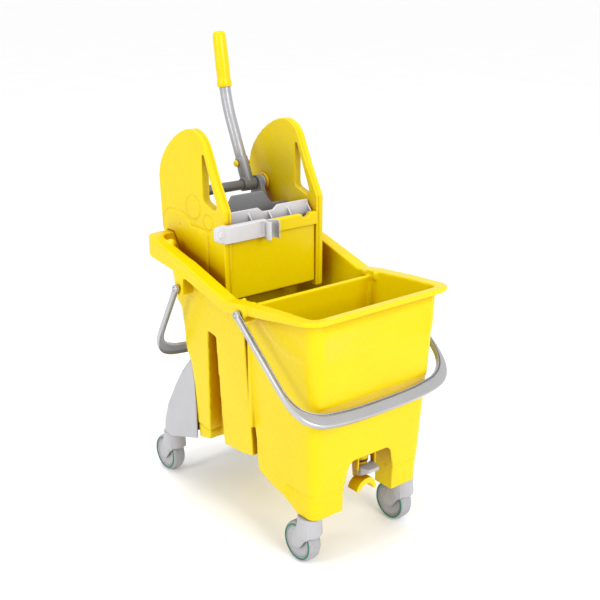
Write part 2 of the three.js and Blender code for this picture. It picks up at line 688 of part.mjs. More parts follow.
function leverTube() {
  const along = (from, tilt, length) => new THREE.Vector3(
    LEVER_X,
    from.y + length * Math.sin(tilt),
    from.z + length * Math.cos(tilt),
  );
  const up = (length) => along({ y: SHAFT_Y, z: SHAFT_Z }, LEVER_TILT, length);
  const above = (length) => along(BEND, TOP_TILT, length);
  const bendLength = Math.hypot(BEND.y - SHAFT_Y, BEND.z - SHAFT_Z);
  const [bendStart, bendEnd] = [up(bendLength - BEND_RUN), above(BEND_RUN)];
  const path = new THREE.CurvePath();
  path.add(new THREE.LineCurve3(up(22), bendStart));
  path.add(new THREE.QuadraticBezierCurve3(bendStart, up(bendLength), bendEnd));
  path.add(new THREE.LineCurve3(bendEnd, above(134)));
  const points = [path.curves[0].getPoint(0), ...path.curves[1].getPoints(5), path.curves[2].getPoint(1)];
  const route = new THREE.CatmullRomCurve3(points, false, 'catmullrom', 0);
  const section = new THREE.Shape(circle(0, 0, LEVER_R, 16).map(([a, b]) => new THREE.Vector2(a, b)));
  route.getPointAt = (u) => route.getPoint(u);
  route.getTangentAt = (u) => route.getTangent(u);
  const options = { steps: points.length - 1, extrudePath: route, bevelEnabled: false };
  return solid(new THREE.ExtrudeGeometry(section, options));
}

function leverSocket() {
  const collar = prismX(circle(SHAFT_Y, SHAFT_Z, 14, 20), LEVER_X - 16, CRANK_X - CRANK_HALF - GAP);
  const tube = turnedAlong([[0, 0], [14, 0], [13.6, 58], [0, 58]], SHAFT_Y, SHAFT_Z, LEVER_TILT, 16);
  const web = solid(flatExtrusion([[0, 6], [14.8, 6], [14.8, 26], [13, 52], [0, 52]], 5).translate(0, 0, -2.5)
    .rotateX(Math.PI / 2 - LEVER_TILT).translate(LEVER_X, SHAFT_Y, SHAFT_Z));
  const boreProfile = [[0, 21.5], [LEVER_R + GAP, 21.5], [LEVER_R + GAP, 80], [0, 80]];
  const bore = turnedAlong(boreProfile, SHAFT_Y, SHAFT_Z, LEVER_TILT, 16);
  return joined([collar, tube, web])
    .subtract(bore)
    .subtract(prismX(circle(SHAFT_Y, SHAFT_Z, SHAFT_R + 0.1, 20), 20, 100));
}

const LOCK = { y: SHAFT_Y + 46 * Math.sin(LEVER_TILT), z: SHAFT_Z + 46 * Math.cos(LEVER_TILT) };

function lockPin() {
  const half = [[0, -19.5], [3, -19], [5.2, -17.5], [5.2, -14.8], [3, -14.6], [3, 14.6],
    [4.5, 14.8], [4.5, 17.3], [0, 18]];
  return turnedX(half, LOCK.y, LOCK.z, 14).translate([LEVER_X, 0, 0]);
}

function grip() {
  const length = Math.hypot(LEVER_END.y - BEND.y, LEVER_END.z - BEND.z);
  const profile = [[0, 31], [14.8, 31], [15.4, 34], [15.4, 42], [14.4, 48], [13.9, 80], [14, length - 16],
    [12.8, length - 5], [8, length], [0, length + 1]];
  const bore = [[0, 10], [LEVER_R + GAP, 10], [LEVER_R + GAP, 135], [0, 135]];
  const mouth = [[0, -30], [LEVER_R + 1.3, -30], [LEVER_R + 1.3, BEND_RUN + 3], [0, BEND_RUN + 3]];
  return turnedAlong(profile, BEND.y, BEND.z, TOP_TILT, 20)
    .subtract(turnedAlong(bore, BEND.y, BEND.z, TOP_TILT, 16))
    .subtract(turnedAlong(mouth, BEND.y, BEND.z, TOP_TILT, 16));
}

function pressCam(x) {
  const outline = rounded([[SHAFT_Y + 16, SHAFT_Z + 16, 15], [SHAFT_Y + 12, SHAFT_Z - 22, 12],
    [CRANK_TIP.y + 9, CRANK_TIP.z - 9, 8], [CRANK_TIP.y - 9, CRANK_TIP.z - 9, 8],
    [CRANK_TIP.y - 8, CRANK_TIP.z + 12, 9], [SHAFT_Y - 17, SHAFT_Z + 16, 15]]);
  const bore = prismX(circle(SHAFT_Y, SHAFT_Z, SHAFT_R + 0.1, 20), x - 9, x + 9);
  return prismX(outline, x - CRANK_HALF, x + CRANK_HALF).subtract(bore);
}

function wringerParts() {
  const shaftHole = (half) => prismX(circle(SHAFT_Y, SHAFT_Z, SHAFT_R + GAP, 20), -half, half);
  const pinHole = prismX(circle(PLATE_HINGE.y + 2, PLATE_HINGE.z, 3.1, 12), -CHEEK_IN - 2.5, CHEEK_IN + 2.5);
  addPiece('wringer_cheek_left', cheek(-1).subtract(pinHole).subtract(shaftHole(110)), 'yellow');
  addPiece('wringer_cheek_right', cheek(1).subtract(pinHole).subtract(shaftHole(110)), 'yellow');
  addPiece('wringer_front_panel', frontPanel(), 'yellow');
  addPiece('wringer_rear_panel', rearPanel(), 'yellow');
  addPiece('wringer_base_grid', baseGrid(), 'yellow');
  addPiece('press_plate_front', frontPlate(), 'white');
  addPiece('press_plate_rear', rearPlate(), 'darkGrey');
  const hingePin = prismX(circle(PLATE_HINGE.y + 2, PLATE_HINGE.z, 3, 12), -106.5, 106.5);
  addPiece('press_plate_pin', hingePin, 'steel');

  addPiece('press_shaft', prismX(circle(SHAFT_Y, SHAFT_Z, SHAFT_R, 20), -109.5, 109.5), 'tubeGrey');
  for (const [side, sign] of [['left', -1], ['right', 1]]) {
    const flip = (points) => points.map(([radius, x]) => [radius, sign * x]);
    const order = (points) => (sign < 0 ? flip(points).reverse() : points);
    const bore = SHAFT_R + GAP;
    const flange = [[bore, 100.2], [20, 100.2], [20, 104.2], [bore, 104.2], [bore, 100.2]];
    const ring = [[bore, 92], [15.5, 92], [15.5, 99.9], [bore, 99.9], [bore, 92]];
    addPiece(`shaft_flange_${side}`, turnedX(order(flange), SHAFT_Y, SHAFT_Z, 24), 'yellow');
    addPiece(`shaft_bush_${side}`, turnedX(order(ring), SHAFT_Y, SHAFT_Z, 24), 'lightGrey');
    addPiece(`press_cam_${side}`, pressCam(sign * CRANK_X), 'darkGrey');
  }
  const lockHole = prismX(circle(LOCK.y, LOCK.z, 3.1, 12), 30, 90);
  addPiece('lever_socket', leverSocket().subtract(lockHole), 'tubeGrey');
  addPiece('lever_tube', leverTube().subtract(lockHole), 'tubeGrey');
  addPiece('lever_lock_pin', lockPin(), 'yellow');
  addPiece('lever_grip', grip(), 'yellow');
}

// ---------------------------------------------------------------- mop handle clip
const CLIP = { x: -25, y: 5, inner: 11.5, wall: 3, low: 566, high: 602 };

function mopClip() {
  const { x, y, inner, wall, low, high } = CLIP;
  const handleRoom = prismZ(circle(x, y, inner, 24), 500, 700);
  const jaw = prismZ(circle(x, y, inner + wall, 24), low, high).subtract(handleRoom);
  const mouth = prismZ([[x - 8, y], [x + 8, y], [x + 12, y - 30], [x - 12, y - 30]], 500, 700);
  const saddle = block(x - 9, x + 9, y + inner + 0.5, 23.7, low + 4, high - 4);
  const arm = block(-131, x - 8, 12, 23.7, 571, 604);
  const armHollow = block(-127, x - 16, 5, 20.5, 575, 600);
  const tab = prismY(rounded([[-149, 576, 9], [-124, 572, 3], [-124, 607, 3], [-149, 604, 9]]), 12, 23.7);
  const boss = prismY(circle(-138, 590, 6, 16), 10, 14);
  return joined([arm.subtract(armHollow), tab, boss, saddle, jaw.subtract(mouth)])
    .subtract(handleRoom);
}

// ---------------------------------------------------------------- assembly
addPiece('bucket_body', bucketBody(), 'yellow');
drainParts();
addPiece('rear_carriage', carriage(), 'lightGrey');
for (const [tag, x, y] of [
  ['front_left', -CASTER_X, FRONT_CASTER_Y],
  ['front_right', CASTER_X, FRONT_CASTER_Y],
  ['rear_left', -CASTER_X, REAR_CASTER_Y],
  ['rear_right', CASTER_X, REAR_CASTER_Y],
]) caster(tag, x, y);
bailParts('front', FRONT_BAIL);
bailParts('rear', REAR_BAIL);
wringerParts();
addPiece('mop_clip', mopClip(), 'white');

// the origin goes under the middle of the overall length
const middle = new THREE.Box3().setFromObject(group).getCenter(new THREE.Vector3());
for (const mesh of group.children) mesh.geometry.translate(0, -middle.y, 0);

export default group;
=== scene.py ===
"""Mop bucket with a lever wringer, as seen from its front left corner.

Every piece stands where the CAD frame puts it. Large mouldings start from the CAD solid, which is rounded
and given its moulded detail; wheels, pins, bushes and the grip are turned afresh; the lever is swept.
Lengths are in metres, and in millimetres where a comment or docstring says so.
"""
import json
import math

import bmesh
import bpy
from mathutils import Matrix, Vector

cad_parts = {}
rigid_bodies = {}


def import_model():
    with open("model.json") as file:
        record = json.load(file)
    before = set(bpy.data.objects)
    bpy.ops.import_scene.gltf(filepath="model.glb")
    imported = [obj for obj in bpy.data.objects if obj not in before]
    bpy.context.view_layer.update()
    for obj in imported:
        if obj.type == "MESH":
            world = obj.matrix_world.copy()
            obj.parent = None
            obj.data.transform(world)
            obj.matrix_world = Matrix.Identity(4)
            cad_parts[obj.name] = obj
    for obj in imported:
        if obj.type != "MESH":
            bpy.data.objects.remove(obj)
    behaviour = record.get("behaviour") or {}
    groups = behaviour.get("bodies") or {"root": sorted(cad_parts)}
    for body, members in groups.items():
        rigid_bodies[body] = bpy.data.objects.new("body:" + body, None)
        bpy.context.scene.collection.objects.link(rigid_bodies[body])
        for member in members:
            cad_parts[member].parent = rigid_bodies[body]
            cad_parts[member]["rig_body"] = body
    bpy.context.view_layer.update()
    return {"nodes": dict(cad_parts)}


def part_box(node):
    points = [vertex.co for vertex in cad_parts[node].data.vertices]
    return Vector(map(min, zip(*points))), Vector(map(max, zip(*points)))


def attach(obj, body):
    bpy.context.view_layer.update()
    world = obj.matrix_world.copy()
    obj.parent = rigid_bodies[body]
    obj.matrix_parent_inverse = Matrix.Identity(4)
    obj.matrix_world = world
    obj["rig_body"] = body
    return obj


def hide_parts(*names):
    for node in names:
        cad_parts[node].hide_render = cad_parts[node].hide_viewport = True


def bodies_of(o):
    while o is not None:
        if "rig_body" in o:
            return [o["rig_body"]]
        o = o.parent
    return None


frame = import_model()

MM = 0.001
NODES = frame["nodes"]
CORNERS = ["front_left", "front_right", "rear_left", "rear_right"]
SIDES = [("left", -1), ("right", 1)]


# ---------------------------------------------------------------- places taken from the frame
def middle(node):
    low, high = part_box(node)
    return (Vector(low) + Vector(high)) / 2


def size(node):
    low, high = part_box(node)
    return Vector(high) - Vector(low)


def body_of(node):
    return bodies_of(NODES[node])[0]


def slot_of(node):
    return NODES[node].data.materials[0].name.split(".")[0]


SHAFT = middle("press_shaft")
CHEEK_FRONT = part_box("wringer_cheek_right")[0][1]
BUCKET_LOW = Vector(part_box("bucket_body")[0])


# ---------------------------------------------------------------- materials
HOLLOW_REACH = 0.085  # how near the walls of a hollow stand for painted shade to deepen the tone of its plastic
GROOVE_REACH = 0.005  # the same for painted shade in grooves in metal


class Graph:
    """A material's node tree with short calls for the nodes it is made of."""

    def __init__(self, name):
        self.material = bpy.data.materials.new(name)
        self.material.use_nodes = True
        self.tree = self.material.node_tree
        self.shader = self.tree.nodes["Principled BSDF"]
        self.place = self.tree.nodes.new("ShaderNodeTexCoord").outputs["Object"]

    def link(self, source, socket):
        self.tree.links.new(source, socket)

    def stretched(self, scale):
        mapping = self.tree.nodes.new("ShaderNodeMapping")
        mapping.inputs["Scale"].default_value = scale
        self.link(self.place, mapping.inputs["Vector"])
        return mapping.outputs["Vector"]

    def noise(self, scale, detail=2.0, rough=0.5, place=None):
        node = self.tree.nodes.new("ShaderNodeTexNoise")
        node.inputs["Scale"].default_value = scale
        node.inputs["Detail"].default_value = detail
        node.inputs["Roughness"].default_value = rough
        self.link(place or self.place, node.inputs["Vector"])
        return node.outputs["Fac"]

    def ranged(self, source, low, high, new_low, new_high):
        node = self.tree.nodes.new("ShaderNodeMapRange")
        limits = {"From Min": low, "From Max": high, "To Min": new_low, "To Max": new_high}
        for name, value in limits.items():
            node.inputs[name].default_value = value
        self.link(source, node.inputs["Value"])
        return node.outputs["Result"]

    def mixed(self, amount, first, second):
        node = self.tree.nodes.new("ShaderNodeMix")
        node.data_type = "RGBA"
        self.link(amount, node.inputs["Factor"])
        for socket, value in [(node.inputs[6], first), (node.inputs[7], second)]:
            if isinstance(value, tuple):
                socket.default_value = (*value, 1.0)
            else:
                self.link(value, socket)
        return node.outputs[2]

    def bump(self, height, strength, distance, under=None):
        node = self.tree.nodes.new("ShaderNodeBump")
        node.inputs["Strength"].default_value = strength
        node.inputs["Distance"].default_value = distance
        self.link(height, node.inputs["Height"])
        if under is not None:
            self.link(under, node.inputs["Normal"])
        return node.outputs["Normal"]

    def painted_hollow_shade(self, reach):
        """Painted shade: near 1 in grooves and hollows no wider than reach, 0 in the open."""
        node = self.tree.nodes.new("ShaderNodeAmbientOcclusion")
        node.samples = 12
        node.inputs["Distance"].default_value = reach
        return self.ranged(node.outputs["AO"], 0.15, 0.78, 1.0, 0.0)

    def worn_edges(self):
        """Near 1 along outside edges, 0 on flat ground."""
        pointed = self.tree.nodes.new("ShaderNodeNewGeometry").outputs["Pointiness"]
        return self.ranged(pointed, 0.57, 0.70, 0.0, 1.0)


def moulded(name, colour, shade, edge, shade_tone, rough=0.36, gloss=0.4):
    """Injection-moulded plastic: cloudy pigment, fine spark-eroded grain, flow marks, edges paler from wear
    and a darker tone painted in as shade in grooves and hollows."""
    graph = Graph(name)
    clouds = graph.ranged(graph.noise(9.0, 3.0), 0.3, 0.7, 0.0, 1.0)
    body = graph.mixed(clouds, colour, shade)
    surface_tone = graph.mixed(graph.worn_edges(), body, edge)
    # painted shade: the tone is drawn towards a darker colour in grooves and hollows
    with_hollow_shade = graph.mixed(graph.painted_hollow_shade(HOLLOW_REACH), surface_tone, shade_tone)
    graph.link(with_hollow_shade, graph.shader.inputs["Base Color"])
    rub = graph.noise(35.0, 4.0, 0.62)
    graph.link(graph.ranged(rub, 0.3, 0.7, rough - 0.05, rough + 0.08), graph.shader.inputs["Roughness"])
    flow = graph.noise(14.0, 1.5, 0.4, graph.stretched((1.0, 1.0, 0.45)))
    waves = graph.bump(flow, 0.2, 0.0004)
    fine = graph.bump(graph.noise(1500.0, 2.0), 0.05, 0.0003, waves)
    graph.link(fine, graph.shader.inputs["Normal"])
    graph.shader.inputs["Specular IOR Level"].default_value = gloss
    return graph.material


def brushed(name, colour, shade, stretch, rough=0.34, metallic=0.85, lines=0.12, shade_heights=None):
    """Satin metal with drawn lines along its length, slightly cloudy polish and painted shade in its
    grooves.
    Between the two given heights, painted shade deepens its tone downwards."""
    graph = Graph(name)
    streaks = graph.noise(420.0, 3.0, 0.6, graph.stretched(stretch))
    clouds = graph.noise(16.0, 2.0)
    tone = graph.mixed(graph.ranged(clouds, 0.3, 0.7, 0.0, 1.0), colour, shade)
    edge = tuple(min(1.0, channel * 1.06) for channel in colour)
    surface_tone = graph.mixed(graph.worn_edges(), tone, edge)
    # painted shade: the darker tone used in grooves and low down on a shaded part
    shade_tone = tuple(channel * 0.22 for channel in colour)
    if shade_heights:
        split = graph.tree.nodes.new("ShaderNodeSeparateXYZ")
        graph.link(graph.place, split.inputs["Vector"])
        # painted shade, darker towards the bottom between the two heights
        lower = graph.ranged(split.outputs["Z"], *shade_heights, 0.75, 0.0)
        surface_tone = graph.mixed(lower, surface_tone, shade_tone)
    # painted shade in grooves
    graph.link(graph.mixed(graph.painted_hollow_shade(GROOVE_REACH), surface_tone, shade_tone), graph.shader.inputs["Base Color"])
    graph.link(graph.ranged(streaks, 0.3, 0.7, rough - 0.07, rough + 0.09), graph.shader.inputs["Roughness"])
    graph.link(graph.bump(streaks, lines, 0.0002), graph.shader.inputs["Normal"])
    graph.shader.inputs["Metallic"].default_value = metallic
    return graph.material


def rubbery(name, colour, shade):
    """Rubber or soft tread with a dusty bloom and a fine cast grain."""
    graph = Graph(name)
    bloom = graph.ranged(graph.noise(120.0, 4.0, 0.6), 0.35, 0.7, 0.0, 1.0)
    graph.link(graph.mixed(bloom, colour, shade), graph.shader.inputs["Base Color"])
    rub = graph.noise(260.0, 2.0)
    graph.link(graph.ranged(rub, 0.3, 0.7, 0.54, 0.72), graph.shader.inputs["Roughness"])
    graph.link(graph.bump(graph.noise(2200.0, 2.0), 0.12, 0.0003), graph.shader.inputs["Normal"])
    return graph.material


# each moulding's fourth colour is the painted shade of its grooves and hollows
MATERIALS = {
    "yellow_plastic": moulded(
        "yellow_plastic", (0.70, 0.54, 0.0), (0.68, 0.515, 0.0), (0.78, 0.64, 0.005), (0.42, 0.125, 0.0),
        rough=0.26, gloss=0.2),
    "light_grey_plastic": moulded(
        "light_grey_plastic", (0.41, 0.41, 0.43), (0.37, 0.37, 0.39), (0.52, 0.52, 0.54), (0.20, 0.20, 0.21),
        rough=0.42),
    "dark_grey_plastic": moulded(
        "dark_grey_plastic", (0.20, 0.20, 0.21), (0.165, 0.165, 0.175), (0.28, 0.28, 0.29),
        (0.07, 0.07, 0.075), rough=0.42),
    "white_plastic": moulded(
        "white_plastic", (0.55, 0.55, 0.585), (0.51, 0.51, 0.545), (0.66, 0.66, 0.70), (0.27, 0.27, 0.29),
        rough=0.34),
    "green_plastic": moulded(
        "green_plastic", (0.005, 0.20, 0.10), (0.004, 0.16, 0.08), (0.02, 0.28, 0.15), (0.0, 0.08, 0.04)),
    "tyre_grey": rubbery("tyre_grey", (0.35, 0.35, 0.37), (0.29, 0.29, 0.31)),
    "satin_metal": brushed(
        "satin_metal", (0.46, 0.46, 0.475), (0.42, 0.42, 0.435), (0.02, 1.0, 1.0), 0.33, 0.8, 0.02),
    # painted shade darkens this grey towards the shaft's height
    "tube_grey": brushed(
        "tube_grey", (0.36, 0.36, 0.38), (0.31, 0.31, 0.33), (1.0, 1.0, 0.05), 0.36, 0.3, 0.06,
        shade_heights=(SHAFT.z + 0.012, SHAFT.z + 0.075)),
    "steel": brushed("steel", (0.55, 0.55, 0.57), (0.47, 0.47, 0.49), (0.1, 1.0, 1.0), 0.28, 1.0),
    "black_rubber": rubbery("black_rubber", (0.02, 0.02, 0.022), (0.035, 0.035, 0.037)),
}


# ---------------------------------------------------------------- making pieces
def add_piece(name, mesh, body, slot, nodes=()):
    mesh.polygons.foreach_set("use_smooth", [True] * len(mesh.polygons))
    mesh.materials.clear()
    mesh.materials.append(MATERIALS[slot])
    piece = bpy.data.objects.new(name, mesh)
    bpy.context.scene.collection.objects.link(piece)
    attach(piece, body)
    if nodes:
        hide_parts(*nodes)
    return piece


def stands_for(node, mesh):
    return add_piece(f"{node}_finished", mesh, body_of(node), slot_of(node), [node])


def baked(mesh, modifiers):
    """The mesh with modifiers applied, each given as (type, settings)."""
    work = bpy.data.objects.new("work", mesh)
    bpy.context.scene.collection.objects.link(work)
    for kind, settings in modifiers:
        modifier = work.modifiers.new(kind.lower(), kind)
        for key, value in settings.items():
            setattr(modifier, key, value)
    shaped = work.evaluated_get(bpy.context.evaluated_depsgraph_get())
    result = bpy.data.meshes.new_from_object(shaped)
    bpy.data.objects.remove(work)
    return result


def mesh_from(build):
    """A mesh filled by build(bm), with its faces turned outwards."""
    bm = bmesh.new()
    build(bm)
    bmesh.ops.recalc_face_normals(bm, faces=bm.faces)
    mesh = bpy.data.meshes.new("mesh")
    bm.to_mesh(mesh)
    bm.free()
    return mesh


def softened(node, voxel, rounds, extras=(), displace=None, keep=1.0):
    """The CAD solid joined with extra solids, its edges rounded, its surface moved by displace(co, normal).
    keep is the share of the faces that is left in the end."""
    return fused(node, [NODES[node].data, *extras], voxel, rounds, displace, keep)


def fused(node, solids, voxel, rounds, displace=None, keep=1.0):
    """Closed solids made into one skin that stands for a node."""
    return stands_for(node, skin(solids, voxel, rounds, displace, keep))


def skin(solids, voxel, rounds, displace=None, keep=1.0):
    """One closed mesh over all the solids, its edges rounded, its surface moved by displace(co, normal)."""
    def build(bm):
        for part in solids:
            bm.from_mesh(part)
        bmesh.ops.remove_doubles(bm, verts=bm.verts, dist=1e-6)
    settings = [
        ("REMESH", {"mode": "VOXEL", "voxel_size": voxel, "adaptivity": 0.0}),
        ("SMOOTH", {"factor": 0.5, "iterations": rounds}),
    ]
    mesh = baked(mesh_from(build), settings)
    if displace:
        moves = [displace(vertex.co, vertex.normal) for vertex in mesh.vertices]
        for vertex, move in zip(mesh.vertices, moves):
            vertex.co += move
    if keep < 1.0:
        mesh = baked(mesh, [("DECIMATE", {"ratio": keep})])
    return mesh


def rounded(corners, steps=5):
    """Corners (a, b) or (a, b, radius); each corner with a radius becomes an arc."""
    points = []
    for index, corner in enumerate(corners):
        here = Vector(corner[:2])
        if len(corner) == 2:
            points.append(tuple(here))
            continue
        back = (Vector(corners[index - 1][:2]) - here).normalized()
        ahead = (Vector(corners[(index + 1) % len(corners)][:2]) - here).normalized()
        half = back.angle(ahead) / 2
        radius = corner[2]
        start = here + back * radius / math.tan(half)
        end = here + ahead * radius / math.tan(half)
        centre = here + (back + ahead).normalized() * radius / math.sin(half)
        first = start - centre
        sweep = first.angle_signed(end - centre)
        for step in range(steps + 1):
            turn = -sweep * step / steps
            cos, sin = math.cos(turn), math.sin(turn)
            across = first.x * cos - first.y * sin
            along = first.x * sin + first.y * cos
            points.append((centre.x + across, centre.y + along))
    return points


def turned(profile, centre, axis, steps=56):
    """A solid turned about axis through centre.
    The profile is (radius, distance along axis), in millimetres."""
    axis = Vector(axis).normalized()
    side = axis.orthogonal().normalized()
    other = axis.cross(side)
    closed = all(radius > 0 for radius, along in profile)

    def build(bm):
        rings = []
        for radius, along in profile:
            base = centre + axis * along * MM
            if radius <= 0:
                rings.append([bm.verts.new(base)] * steps)
                continue
            ring = []
            for step in range(steps):
                angle = 2 * math.pi * step / steps
                spoke = side * math.cos(angle) + other * math.sin(angle)
                ring.append(bm.verts.new(base + spoke * radius * MM))
            rings.append(ring)
        pairs = list(zip(rings, rings[1:]))
        if closed:
            pairs.append((rings[-1], rings[0]))
        for ring, following in pairs:
            for step in range(steps):
                after = (step + 1) % steps
                corners = [ring[step], ring[after], following[after], following[step]]
                distinct = list(dict.fromkeys(corners))
                if len(distinct) > 2:
                    bm.faces.new(distinct)
    return mesh_from(build)


def swept(path, ring_at, steps=32):
    """A round bar along path points, with ring_at(index) as its radius. Its ends are closed."""
    def build(bm):
        rings = []
        side = Vector((1, 0, 0))
        for index, point in enumerate(path):
            before = path[max(index - 1, 0)]
            after = path[min(index + 1, len(path) - 1)]
            ahead = (after - before).normalized()
            across = ahead.cross(side).normalized()
            radius = ring_at(index)
            angles = [2 * math.pi * step / steps for step in range(steps)]
            rings.append([
                bm.verts.new(point + (side * math.cos(angle) + across * math.sin(angle)) * radius)
                for angle in angles])
        for ring, following in zip(rings, rings[1:]):
            for step in range(steps):
                after = (step + 1) % steps
                bm.faces.new([ring[step], ring[after], following[after], following[step]])
        bm.faces.new(rings[0])
        bm.faces.new(rings[-1])
    return mesh_from(build)


def capsule(start, end, radius, steps=20):
    """A bar with domed ends, to be joined into a moulding."""
    length = (end - start).length
    profile = [(0, -radius / MM)]
    domes = [math.radians(angle) for angle in (-60, -30, 0)]
    profile += [(radius * math.cos(a) / MM, radius * math.sin(a) / MM) for a in domes]
    profile += [(radius * math.cos(a) / MM, (length - radius * math.sin(a)) / MM) for a in reversed(domes)]
    profile.append((0, (length + radius) / MM))
    return turned(profile, start, end - start, steps)


def prism(outline, low, high, axis):
    """A closed bar whose outline, in the two other axes, runs from low to high along axis "x" or "z"."""
    def point(a, b, along):
        return (along, a, b) if axis == "x" else (a, b, along)

    def build(bm):
        rings = [[bm.verts.new(point(a, b, along)) for a, b in outline] for along in (low, high)]
        count = len(outline)
        for step in range(count):
            after = (step + 1) % count
            bm.faces.new([rings[0][step], rings[0][after], rings[1][after], rings[1][step]])
        bm.faces.new(rings[0])
        bm.faces.new(rings[1])
    return mesh_from(build)


def bezier(start, first, second, end, count):
    """Points on a cubic curve after its start point."""
    points = []
    for step in range(1, count + 1):
        share = step / count
        rest = 1 - share
        weights = (rest ** 3, 3 * rest * rest * share, 3 * rest * share * share, share ** 3)
        ends = (start, first, second, end)
        points.append(tuple(sum(w * p[i] for w, p in zip(weights, ends)) for i in range(2)))
    return points


def smooth_step(value, low, high):
    share = min(max((value - low) / (high - low), 0.0), 1.0)
    return share * share * (3 - 2 * share)


# ---------------------------------------------------------------- camera, floor and lights
def add_camera():
    data = bpy.data.cameras.new("camera")
    data.sensor_width = 36
    data.lens = 59.25
    camera = bpy.data.objects.new("camera", data)
    camera.location = (-1.14657, -1.455256, 1.06435)
    camera.rotation_euler = [math.radians(angle) for angle in (71.28, 0, -39.23)]
    bpy.context.scene.collection.objects.link(camera)
    bpy.context.scene.camera = camera


def add_light(name, place, aim, width, power):
    data = bpy.data.lights.new(name, "AREA")
    data.size = width
    data.energy = power
    light = bpy.data.objects.new(name, data)
    light.location = place
    light.rotation_euler = (Vector(aim) - Vector(place)).to_track_quat("-Z", "Y").to_euler()
    bpy.context.scene.collection.objects.link(light)


def add_floor():
    def build(bm):
        bmesh.ops.create_grid(bm, x_segments=1, y_segments=1, size=30)
    graph = Graph("studio_floor")
    tone = graph.ranged(graph.noise(3.0), 0.3, 0.7, 0.0, 1.0)
    pale = graph.mixed(tone, (0.99, 0.99, 0.99), (0.975, 0.975, 0.975))
    graph.link(pale, graph.shader.inputs["Base Color"])
    graph.shader.inputs["Roughness"].default_value = 0.9
    mesh = mesh_from(build)
    for polygon in mesh.polygons:
        if polygon.normal.z < 0:
            polygon.flip()
    floor = bpy.data.objects.new("studio_floor", mesh)
    floor.data.materials.append(graph.material)
    floor.location.z = -0.0005
    bpy.context.scene.collection.objects.link(floor)


def add_studio():
    add_camera()
    add_floor()
    scene = bpy.context.scene
    world = bpy.data.worlds.new("studio")
    world.use_nodes = True
    world.node_tree.nodes["Background"].inputs["Color"].default_value = (1.0, 1.0, 1.0, 1.0)
    world.node_tree.nodes["Background"].inputs["Strength"].default_value = 1.0
    scene.world = world
    scene.view_settings.view_transform = "Standard"
    centre = (0, 0, 0.4)
    add_light("key", (-0.1, -3.0, 1.9), centre, width=1.2, power=56)
    add_light("left_fill", (-2.9, 0.1, 1.5), centre, width=0.8, power=24)
    add_light("top", (-0.3, 0.4, 3.2), centre, width=0.9, power=22)


# ---------------------------------------------------------------- bucket
LEG_STEP = BUCKET_LOW.z + 0.050
LOBE_STEP = BUCKET_LOW.z + 0.066
SWELL_LOW = BUCKET_LOW.z + 0.215
SWELL_HIGH = BUCKET_LOW.z + 0.232
RIM_UNDER = BUCKET_LOW.z + 0.372


def bucket_surface(place, normal):
    """Moulded steps of the outside walls: over the legs, round the rear tank and under the rim."""
    if abs(normal.z) > 0.55:
        return Vector((0, 0, 0))
    outward = Vector((normal.x, normal.y, 0))
    outside = outward.x * place.x > 0 and abs(place.x) > 0.125
    front = place.y < BUCKET_LOW.y + 0.090 and outward.y < 0
    move = 0.0

    def part_line(height):
        """A fine groove over a shallow step."""
        groove = 0.0019 * (1 - smooth_step(abs(place.z - height), 0.0008, 0.0026))
        return -groove - 0.0009 * (1 - smooth_step(place.z, height - 0.001, height + 0.001))
    if place.y < -0.18 and (outside or front):
        move += part_line(LEG_STEP)
    if place.y > 0.02 and place.z < 0.30 and (outside or abs(outward.y) > 0.5):
        move += part_line(LOBE_STEP)
    if front and place.y < -0.24:
        swell = smooth_step(place.z, SWELL_LOW, SWELL_HIGH) * (1 - smooth_step(place.z, RIM_UNDER, 0.49))
        side_fade = 1 - smooth_step(abs(place.x), 0.128, 0.146)
        move += 0.0036 * swell * side_fade
    if outside and place.y < -0.10:
        line = BUCKET_LOW.z + 0.316 + 0.040 * smooth_step(place.y, -0.20, -0.115)
        fade = smooth_step(-place.y, 0.115, 0.135) * (1 - smooth_step(place.z, 0.46, 0.48))
        move += 0.0016 * smooth_step(place.z, line - 0.005, line + 0.005) * fade
    return outward * move


def bucket():
    """The shell, with its divider's thickened ends, the wringer's seats and the lugs beside the divider."""
    wall_x = 0.1475
    divider_y = -0.088
    divider_low, divider_high = BUCKET_LOW.z + 0.14, 0.474
    seat_x, seat_y = 0.150, 0.168
    seat_low, seat_high = 0.515, 0.542
    lug_low, lug_high = 0.478, 0.487
    extras = []
    for side, sign in SIDES:
        foot = Vector((sign * wall_x, divider_y, divider_low))
        head = Vector((sign * (wall_x + 0.001), divider_y, divider_high))
        extras.append(capsule(foot, head, 0.0055))
        seat = Vector((sign * seat_x, seat_y, 0))
        extras.append(capsule(seat + Vector((0, 0, seat_low)), seat + Vector((0, 0, seat_high)), 0.011))
        for lug_y in (divider_y + 0.017, divider_y - 0.016):
            lug = Vector((sign * wall_x, lug_y, 0))
            extras.append(capsule(lug + Vector((0, 0, lug_low)), lug + Vector((0, 0, lug_high)), 0.0045))
    softened("bucket_body", voxel=0.0021, rounds=5, extras=extras, displace=bucket_surface, keep=0.2)


def drain():
    softened("drain_spout", voxel=0.0008, rounds=4, keep=0.5)
    softened("drain_paddle", voxel=0.0006, rounds=3, keep=0.5)
    plug = middle("drain_plug")
    bottom = (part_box("drain_plug")[0][2] - plug.z) / MM
    profile = [(0, 0), (14.4, 0), (14.8, 0.5), (14.8, 25.2), (15.0, 26.4), (14.6, 27.8), (13.2, 29.8),
               (12.0, 30.6), (6.0, 30.8), (5.4, 30.2), (0, 30.0)]
    stands_for("drain_plug", turned([(r, z + bottom) for r, z in profile], plug, (0, 0, 1), 40))
    ring = rounded([(12, -2.1, 0.9), (15.8, -2.1, 0.9), (15.8, 2.1, 0.9), (12, 2.1, 0.9)])
    stands_for("drain_seal", turned(ring, middle("drain_seal"), (0, 0, 1), 40))


# wall behind the top of a rear stem: distances back and up from the stem's top, in millimetres
STEM_BACKING = [(-6, -15), (7.8, -15), (1.7, 1.5), (-6, 1.5)]


